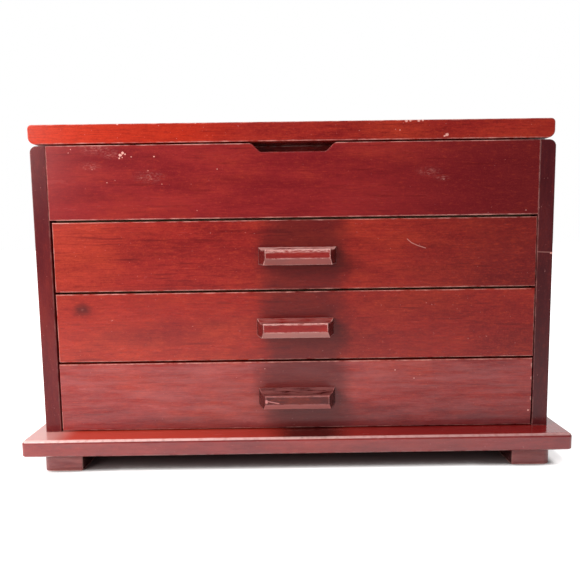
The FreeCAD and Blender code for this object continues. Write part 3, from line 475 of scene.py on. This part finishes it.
def panel_marks(s):
    scuffs = [s.scuff((x, FRONT, z), (size, 3.0, size * 0.4)) for x, z, size in PANEL_SCUFFS]
    return nicks(s, PANEL_NICKS) + [s.times(scuff, 0.22) for scuff in scuffs]


def drawer_1_marks(s):
    curve = [line(s, start, end, 0.35) for start, end in zip(DRAWER_1_CURVE, DRAWER_1_CURVE[1:])]
    corner = [
        line(s, (-152.2, 148.0), (-152.2, 155.0), 0.7),
        line(s, (-152.2, 155.2), (-141.0, 155.2), 0.5),
    ]
    return [s.times(mark, 0.5) for mark in curve] + [s.times(mark, 0.8) for mark in corner]


def drawer_3_marks(s):
    sliver = line(s, (-152.2, 33.5), (-152.2, 23.0), 0.8)
    chips = [s.spot((152.0, FRONT, z), (0.9, 3.0, height), 0.5) for z, height in DRAWER_3_CHIPS]
    return nicks(s, DRAWER_3_NICKS) + [s.times(mark, 0.7) for mark in [sliver] + chips]


def rubbed_arris(s, start, end, height, width, amount):
    """A ragged pale band along the upper front arris of a pull."""
    ragged = s.band(s.noise((420, 420, 1500), 41.0, 5, 0.8), 0.40, 0.60)
    return s.times(line(s, (start, height), (end, height), width, PULL_FRONT), ragged, amount)


def pull_1_marks(s):
    return [rubbed_arris(s, -17.5, 21.0, 137.1, 2.4, 0.62)]


def pull_2_marks(s):
    return [rubbed_arris(s, -19.5, 19.5, 91.9, 1.2, 0.6)]


def pull_3_marks(s):
    chip = s.spot((-18.6, PULL_FRONT, 43.4), (0.9, 2.5, 1.3), 0.5)
    scratch = line(s, (-17.5, 43.6), (-11.0, 42.2), 0.45, PULL_FRONT)
    return [s.times(chip, 0.75), s.times(scratch, 0.6), rubbed_arris(s, -19.0, 20.0, 46.7, 1.0, 0.35)]


def right_side_marks(s):
    crack = line(s, (153.0, 133.2), (162.0, 132.8), 0.35)
    return [s.times(crack, 0.35), s.spot((161.9, FRONT, 132.3), (0.8, 1.5, 0.6))]


# Other finishes
PLY_PALE = srgb(206, 172, 132)
PLY_DARK = srgb(176, 136, 96)


def velvet(node, seed):
    """Flocked velvet: short pile with brushed patches and a soft sheen."""
    s = new_shader(node + "_velvet")
    pile = s.noise((2600,) * 3, seed, 2, 0.6)
    brushed = s.noise((26, 40, 40), seed + 4, 3, 0.55)
    shade = s.mix(s.band(brushed, 0.3, 0.7), srgb(78, 14, 26), srgb(112, 26, 42))
    colour = s.tinted(shade, srgb(142, 52, 66), s.band(pile, 0.35, 0.75), 0.5)
    return s.finish(
        colour, 0.92, pile, 0.25 * MM, 0.6,
        Sheen_Weight=0.45, Sheen_Roughness=0.35, Sheen_Tint=srgb(232, 150, 165), Specular_IOR_Level=0.15,
    )


def bare_wood(node, axis, seed, pale=srgb(214, 178, 132), dark=srgb(172, 128, 84)):
    """Bare planed wood: growth lines that wander, with pores and a few darker strokes."""
    s = new_shader(node + "_wood")
    drift = s.noise(grain_scale(axis, 7, 42), seed, 3, 0.5)
    lines = s.math("FRACT", s.times(drift, 14.0))
    grain = s.band(s.math("ABSOLUTE", s.math("SUBTRACT", lines, 0.5)), 0.5, 0.05)
    fine = s.noise(grain_scale(axis, 70, 1800), seed + 6, 3, 0.6)
    colour = s.tinted(pale, dark, grain, 0.65)
    colour = s.tinted(colour, srgb(140, 98, 60), s.band(fine, 0.45, 0.8), 0.45)
    return s.finish(colour, s.plus(fine, 0.2, 0.5), fine, 0.12 * MM, 0.45, Specular_IOR_Level=0.3)


def brass(node, seed):
    """Brass plate: satin, with fine brushing and duller spots."""
    s = new_shader(node + "_brass")
    brushing = s.noise((260, 9000, 9000), seed, 2, 0.6)
    dull = s.noise((220,) * 3, seed + 3, 4, 0.65)
    colour = s.mix(s.band(dull, 0.45, 0.75), srgb(222, 186, 108), srgb(160, 118, 62))
    roughness = s.plus(s.band(dull, 0.4, 0.8), 0.25, s.plus(brushing, 0.15, 0.16))
    return s.finish(colour, roughness, brushing, 0.03 * MM, 0.3, Metallic=1.0)


def steel(node, seed):
    """Zinc plate on the screws, with light wear and grey bloom."""
    s = new_shader(node + "_steel")
    bloom = s.noise((700,) * 3, seed, 4, 0.65)
    colour = s.mix(bloom, srgb(212, 212, 210), srgb(138, 140, 142))
    return s.finish(colour, s.plus(bloom, 0.3, 0.16), bloom, 0.03 * MM, 0.3, Metallic=1.0)


def mirror(node):
    """Silvered glass with a trace of dust and wiping marks."""
    s = new_shader(node + "_silver")
    wiped = s.noise((40, 160, 60), 2.0, 4, 0.65)
    dust = s.band(s.noise((1600,) * 3, 6.0, 1, 0.5), 0.74, 0.82)
    colour = s.tinted(srgb(236, 240, 240), srgb(190, 188, 184), dust, 0.25)
    roughness = s.plus(s.band(wiped, 0.5, 0.85), 0.05, 0.015)
    return s.finish(colour, roughness, wiped, 0.005 * MM, 0.1, Metallic=1.0)


def paint(node, material):
    for slot in NODES[node].material_slots:
        slot.material = material


# Each red piece's own look
LACQUERED = {
    # The washes below are painted light at the left and painted shade at the right.
    "lid_panel": dict(
        axis="X", seed=1.0, deep=srgb(134, 30, 30), light=srgb(166, 44, 36), specular=0.12, marks=lid_marks,
        washes=((-15, -70, 0.80, srgb(190, 46, 24)), (-90, -150, 0.4, srgb(220, 60, 26))),
    ),
    "top_front_panel": dict(
        axis="X", seed=2.0, deep=srgb(124, 25, 32), light=srgb(148, 36, 38), grain=0.7, specular=0.2,
        washes=((20, 180, 0.72, srgb(88, 20, 25)),), marks=panel_marks, edges=0.5, end_give=0.9,
    ),
    "drawer_1_front": dict(
        axis="X", seed=3.0, pull=(5.0, FRONT, 133.0), marks=drawer_1_marks,
        washes=((-90, -140, 0.22, ORANGE), (30, 150, 0.58, srgb(90, 20, 24))),
    ),
    "drawer_2_front": dict(
        axis="X", seed=4.0, pull=(5.0, FRONT, 88.0), knot=(-135.5, FRONT, 100.3),
        washes=((-70, -130, 0.10, ORANGE), (0, 60, 0.2, srgb(112, 30, 32))),
    ),
    "drawer_3_front": dict(
        axis="X", seed=5.0, pull=(5.0, FRONT, 44.0), haze=0.22, marks=drawer_3_marks, end_give=0.4,
        low_shade=(38, 21, 0.5, srgb(78, 36, 44)),
    ),
    "plinth_board": dict(
        axis="X", seed=6.0, deep=srgb(115, 26, 31), light=srgb(147, 42, 43), grain=0.4, haze=0.06, coat=0.8,
        wear=0.30, wear_width=1.6, top_stain=srgb(158, 38, 36), arris_line=0.9, worn_tint=srgb(250, 208, 204),
    ),
    "case_side_left": dict(
        axis="Z", seed=7.0, deep=srgb(86, 23, 29), light=srgb(106, 33, 37), grain=0.25, wear=0.3,
        specular=0.14,
    ),
    "case_side_right": dict(
        axis="Z", seed=8.0, deep=srgb(68, 20, 26), light=srgb(86, 28, 33), grain=0.25, wear=0.22,
        marks=right_side_marks,
    ),
    "case_back": dict(axis="X", seed=9.0, grain=0.7),
    "mirror_frame_front": dict(axis="X", seed=10.0),
    "mirror_frame_rear": dict(axis="X", seed=11.0),
    "mirror_frame_left": dict(axis="Y", seed=12.0),
    "mirror_frame_right": dict(axis="Y", seed=13.0),
    "drawer_1_pull": dict(
        axis="X", seed=14.0, deep=srgb(104, 20, 26), light=srgb(146, 36, 36), grain=0.5, marks=pull_1_marks,
        worn_top=0.52, worn_under=0.18, edges=1.0, worn_tint=PALE_WEAR_AND_LIGHT,
    ),
    "drawer_2_pull": dict(
        axis="X", seed=15.0, deep=srgb(124, 24, 26), light=srgb(164, 42, 38), grain=0.5, marks=pull_2_marks,
        worn_top=0.18, worn_under=0.40, edges=1.0, worn_tint=PALE_WEAR_AND_LIGHT,
    ),
    "drawer_3_pull": dict(
        axis="X", seed=16.0, deep=srgb(44, 5, 12), light=srgb(62, 10, 17), grain=0.6, marks=pull_3_marks,
        worn_top=0.32, worn_under=0.54, edges=0.7, worn_tint=srgb(230, 148, 144),
    ),
}
EVERY_PULL = dict(wear=0.0, edge_width=1.3, dark_ends=0.7)
EVERY_FOOT = dict(
    axis="X", deep=srgb(108, 46, 48), light=srgb(134, 70, 66), grain=0.4, haze=0.28, dark_inner=0.85,
    wear=0.5, edges=0.5,
)

# The finish of each remaining piece, by the name of its CAD material
BY_SLOT = {
    "velvet": velvet,
    "plain_wood": lambda name, seed: bare_wood(name, "Y" if "side" in name else "X", seed),
    "plywood": lambda name, seed: bare_wood(name, "X", seed, PLY_PALE, PLY_DARK),
    "hinge_brass": brass,
    "screw_steel": steel,
    "mirror": lambda name, seed: mirror(name),
    "red_lacquered_wood": lambda name, seed: lacquered(name, seed=seed, **EVERY_FOOT),
}
FIRST_SEED = 20.0

for name, look in LACQUERED.items():
    shared = EVERY_PULL if name.endswith("_pull") else {}
    paint(name, lacquered(name, **look, **shared))
for count, name in enumerate(sorted(set(NODES) - set(LACQUERED))):
    slot_name = NODES[name].material_slots[0].material.name.split(".")[0]
    paint(name, BY_SLOT[slot_name](name, FIRST_SEED + count))


# Ring pad: soft rolls side by side, rounded over at both ends
ROLLS = 9
CREASE_DEPTH = 7 * MM
END_ROUNDING = 5 * MM
SIDE_HEIGHT = 4 * MM
FOOT_INSET = 0.6 * MM
UNEVENNESS = 0.35 * MM
ACROSS_ROLL = 12
END_STEPS = 6
RUN_STEPS = 34


def pad_stations(low, high):
    """The places along the pad, each with how far the surface has dropped there."""
    near = []
    for step in range(END_STEPS, -1, -1):
        angle = math.pi / 2 * step / END_STEPS
        near.append((low.y + END_ROUNDING * (1 - math.sin(angle)), END_ROUNDING * (1 - math.cos(angle))))
    run = high.y - low.y - 2 * END_ROUNDING
    inner = [(low.y + END_ROUNDING + run * step / RUN_STEPS, 0.0) for step in range(1, RUN_STEPS)]
    far = [(low.y + high.y - y, drop) for y, drop in reversed(near)]
    return near + inner + far


def pad_section(low, high, y, drop):
    """One section of the pad: up the left side, over the rolls and down the right side."""
    left, right = low.x + drop / 2, high.x - drop / 2
    pitch = (high.x - low.x) / ROLLS
    ring = [(left + FOOT_INSET, y, low.z), (left, y, low.z + SIDE_HEIGHT)]
    for roll in range(ROLLS):
        crown = UNEVENNESS * noise.noise(Vector((roll * 7.3, y * 25, 0.5)))
        for step in range(1 if roll else 0, ACROSS_ROLL + 1):
            across = -1 + 2 * step / ACROSS_ROLL
            x = low.x + pitch * (roll + 0.5 + across / 2)
            dip = CREASE_DEPTH * (1 - math.sqrt(max(0.0, 1 - across * across)))
            ring.append((min(max(x, left), right), y, high.z - UNEVENNESS + crown - dip - drop))
    return ring + [(right, y, low.z + SIDE_HEIGHT), (right - FOOT_INSET, y, low.z)]


def ring_pad():
    low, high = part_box("ring_roll_pad")
    rings = [pad_section(low, high, y, drop) for y, drop in pad_stations(low, high)]
    size = len(rings[0])
    vertices = [corner for ring in rings for corner in ring]
    faces = []
    for base in range(0, len(vertices) - size, size):
        for column in range(size):
            following = (column + 1) % size
            faces.append((base + column, base + following, base + size + following, base + size + column))
    faces.append(tuple(range(size - 1, -1, -1)))
    faces.append(tuple(range(len(vertices) - size, len(vertices))))
    mesh = bpy.data.meshes.new("ring_pad")
    mesh.from_pydata(vertices, [], faces)
    mesh.polygons.foreach_set("use_smooth", [True] * len(mesh.polygons))
    mesh.update()
    mesh.materials.append(velvet("ring_pad", 3.0))
    return link(bpy.data.objects.new("ring_pad_velvet", mesh))


pad = ring_pad()
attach(pad, "case")
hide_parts("ring_roll_pad")


# Screws: countersunk heads with a cross recess, in place of the CAD solids' plain ones
HEAD_RINGS = 12
SCREW_SEGMENTS = 48
END_PLAY = 0.02 * MM
HEAD_PLAY = 0.05 * MM

# The recess and the head's edge, as parts of the head's radius and height
RECESS_DEPTH = 0.38
ARM_HALF_WIDTH, ARM_SLOPE = 0.16, 0.05
ARM_REACH, ARM_RUNOUT = 0.62, 0.20
EDGE_RADIUS, EDGE_DEPTH = 0.985, 0.06

# The screw's point, as parts of the shank's radius
POINT_LENGTH, POINT_RADIUS = 1.6, 0.3


def loose_parts(mesh):
    """The corner places of each separate part of a mesh."""
    parent = list(range(len(mesh.vertices)))

    def root(item):
        while parent[item] != item:
            parent[item] = parent[parent[item]]
            item = parent[item]
        return item

    for edge in mesh.edges:
        parent[root(edge.vertices[0])] = root(edge.vertices[1])
    places = {}
    for vertex in mesh.vertices:
        key = tuple(round(value, 6) for value in vertex.co)
        first = places.setdefault(key, vertex.index)
        parent[root(vertex.index)] = root(first)
    parts = {}
    for vertex in mesh.vertices:
        parts.setdefault(root(vertex.index), []).append(vertex.co.copy())
    return list(parts.values())


def screw_measures(points):
    """A plain screw's head centre, direction, head and shank radius, head height and length."""
    low = Vector([min(point[i] for point in points) for i in range(3)])
    high = Vector([max(point[i] for point in points) for i in range(3)])
    size = high - low
    axis = max(range(3), key=lambda i: size[i])
    centre = (low + high) / 2

    def radius(point):
        return math.hypot(*[point[i] - centre[i] for i in range(3) if i != axis])

    at_low = max(radius(point) for point in points if point[axis] - low[axis] < END_PLAY)
    at_high = max(radius(point) for point in points if high[axis] - point[axis] < END_PLAY)
    head_low = at_low > at_high
    head, shank = max(at_low, at_high), min(at_low, at_high)
    place = centre.copy()
    place[axis] = low[axis] if head_low else high[axis]
    on_shank = [abs(point[axis] - place[axis]) for point in points if radius(point) < shank * 1.05]
    sunk = min(away for away in on_shank if away > HEAD_PLAY)
    towards = Vector((0, 0, 0))
    towards[axis] = 1 if head_low else -1
    return place, towards, head, shank, sunk, size[axis]


def recess(across, up, head):
    """Depth of the cross recess at a place on the head, which tapers inwards."""
    def arm(wide, long):
        inside = min(1.0, max(0.0, (ARM_HALF_WIDTH * head - abs(wide)) / (ARM_SLOPE * head)))
        return inside * min(1.0, max(0.0, (ARM_REACH * head - abs(long)) / (ARM_RUNOUT * head)))
    return RECESS_DEPTH * head * max(arm(across, up), arm(up, across))


def screws(node):
    """All the screws of a node, redrawn around their own axes: a row of rings from the head to the point."""
    vertices = []
    faces = []
    for points in loose_parts(NODES[node].data):
        place, towards, head, shank, sunk, length = screw_measures(points)
        side = towards.orthogonal().normalized()
        other = towards.cross(side)
        profile = [(head * ring / HEAD_RINGS, None) for ring in range(1, HEAD_RINGS + 1)]
        profile += [
            (head * EDGE_RADIUS, EDGE_DEPTH * sunk), (shank, sunk),
            (shank, length - POINT_LENGTH * shank), (POINT_RADIUS * shank, length),
        ]
        first = len(vertices) + 1
        vertices.append(place + towards * recess(0, 0, head))
        for reach, depth in profile:
            for step in range(SCREW_SEGMENTS):
                angle = 2 * math.pi * step / SCREW_SEGMENTS
                across, up = reach * math.cos(angle), reach * math.sin(angle)
                sink = recess(across, up, head) if depth is None else depth
                vertices.append(place + side * across + other * up + towards * sink)
        vertices.append(place + towards * length)
        last = first + (len(profile) - 1) * SCREW_SEGMENTS
        for step in range(SCREW_SEGMENTS):
            following = (step + 1) % SCREW_SEGMENTS
            faces.append((first - 1, first + following, first + step))
            for near in range(first, last, SCREW_SEGMENTS):
                far = near + SCREW_SEGMENTS
                faces.append((near + step, near + following, far + following, far + step))
            faces.append((last + step, last + following, len(vertices) - 1))
    mesh = bpy.data.meshes.new(node + "_cross")
    mesh.from_pydata(vertices, [], faces)
    mesh.update()
    mesh.materials.append(steel(node + "_cross", 5.0))
    return link(bpy.data.objects.new(node + "_cross", mesh))


for body, members in frame["record"]["behaviour"]["bodies"].items():
    for member in members:
        if member.endswith("_screws"):
            detailed = screws(member)
            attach(detailed, body)
            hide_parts(member)


# Camera, at the photograph's place and angle
IMAGE_PIXELS = 580
FOCAL_PIXELS = 550
SENSOR_MM = 36
CAMERA_PLACE = (-3.6, -439.0, 146.2)
CAMERA_YAW = 0.08
CAMERA_PITCH = 5.76
CAMERA_ROLL = -0.8

yaw, pitch, roll = (math.radians(angle) for angle in (CAMERA_YAW, CAMERA_PITCH, CAMERA_ROLL))
ahead = Vector((math.sin(yaw) * math.cos(pitch), math.cos(yaw) * math.cos(pitch), -math.sin(pitch)))
level = Vector((math.cos(yaw), -math.sin(yaw), 0))
upward = level.cross(ahead)
turned_right = math.cos(roll) * level + math.sin(roll) * upward
turned_up = math.cos(roll) * upward - math.sin(roll) * level
turn = Matrix((turned_right, turned_up, -ahead)).transposed().to_4x4()
camera_data = bpy.data.cameras.new("camera")
camera_data.sensor_width = SENSOR_MM
camera_data.lens = SENSOR_MM * FOCAL_PIXELS / IMAGE_PIXELS
camera_data.clip_start = 0.01
camera = link(bpy.data.objects.new("camera", camera_data))
camera.matrix_world = Matrix.Translation(Vector(CAMERA_PLACE) * MM) @ turn
bpy.context.scene.camera = camera


# Studio: a soft key lamp at the left front, a large lamp above, and a plain world
LAMPS = {
    "key": dict(
        place=(-0.50, -0.46, 0.36), target=(-0.06, -0.05, 0.10),
        size=0.34, power=3.6, colour=(1.0, 0.97, 0.93),
    ),
    "top": dict(place=(-0.10, 0.15, 1.30), target=(0, 0, 0.1), size=0.8, power=3.5, colour=(1, 1, 1)),
}
WHITE = grey(1.0)


def area_light(name, place, target, size, power, colour):
    data = bpy.data.lights.new(name, "AREA")
    data.shape = "SQUARE"
    data.size = size
    data.energy = power
    data.color = colour
    light = link(bpy.data.objects.new(name, data))
    light.location = place
    light.rotation_euler = (Vector(target) - Vector(place)).to_track_quat("-Z", "Y").to_euler()


for name, lamp in LAMPS.items():
    area_light(name, **lamp)

world = Shader(bpy.data.worlds.new("studio"), "ShaderNodeOutputWorld")
bpy.context.scene.world = world.owner
rays = world.add("ShaderNodeLightPath").outputs
direction = world.parts(world.coordinates.outputs["Generated"])
sweep = world.mix(world.band(direction[1], -0.35, 0.25), grey(0.05, 0.002), WHITE)
mirrored = world.math("ADD", rays["Is Glossy Ray"], rays["Is Transmission Ray"], clamp=True)
around = world.mix(mirrored, grey(0.50, 0.005), sweep)
background = world.add(
    "ShaderNodeBackground", {"Color": world.mix(rays["Is Camera Ray"], around, WHITE), "Strength": 1.0},
)
world.feed(world.output.inputs["Surface"], background.outputs[0])


# Floor: pale paper, white to the camera except for the chest's shadow, which is deepened by painted shadow; a
# painted glow at the left front shows in reflections
FLOOR_HALF = 6.0
SHADOW_REACH = 0.024


def floor_paper():
    s = new_shader("floor_paper")
    rays = s.add("ShaderNodeLightPath").outputs
    open_sky = s.add("ShaderNodeAmbientOcclusion", {"Distance": SHADOW_REACH}, samples=24).outputs["AO"]
    across = s.parts(s.place)[0]
    past_left = s.span(across, -150, -164)
    past_right = s.times(s.span(across, 158, 166), 0.65)
    bright = s.most([s.band(open_sky, 0.34, 0.66), past_left, past_right])
    # A painted glow on the floor near the left front, seen only in reflections.
    near = s.band(s.vector("DISTANCE", s.place, (-0.20, -0.15, 0)), 0.80, 0.25)
    mirrored = s.times(near, 0.9, rays["Is Glossy Ray"])
    seen = s.most([rays["Is Camera Ray"], rays["Is Transmission Ray"], mirrored])
    tooth = s.noise((900,) * 3, 1.0, 3, 0.6)
    # Painted shadow: dark paper where the chest is close above, except past its left end and partly past its
    # right end.
    paper = s.mix(bright, (0.17, 0.14, 0.14, 1), s.mix(tooth, grey(0.86), grey(0.90)))
    return s.finish(
        paper, 0.9, tooth, 0.1 * MM, 0.2,
        Specular_IOR_Level=0.1, Emission_Color=WHITE, Emission_Strength=s.times(bright, seen),
    )


floor_mesh = bpy.data.meshes.new("floor")
floor_mesh.from_pydata(
    [(x * FLOOR_HALF, y * FLOOR_HALF, 0) for x, y in ((-1, -1), (1, -1), (1, 1), (-1, 1))], [], [(0, 1, 2, 3)],
)
floor_mesh.materials.append(floor_paper())
floor = link(bpy.data.objects.new("floor", floor_mesh))

bpy.context.scene.view_settings.view_transform = "Standard"
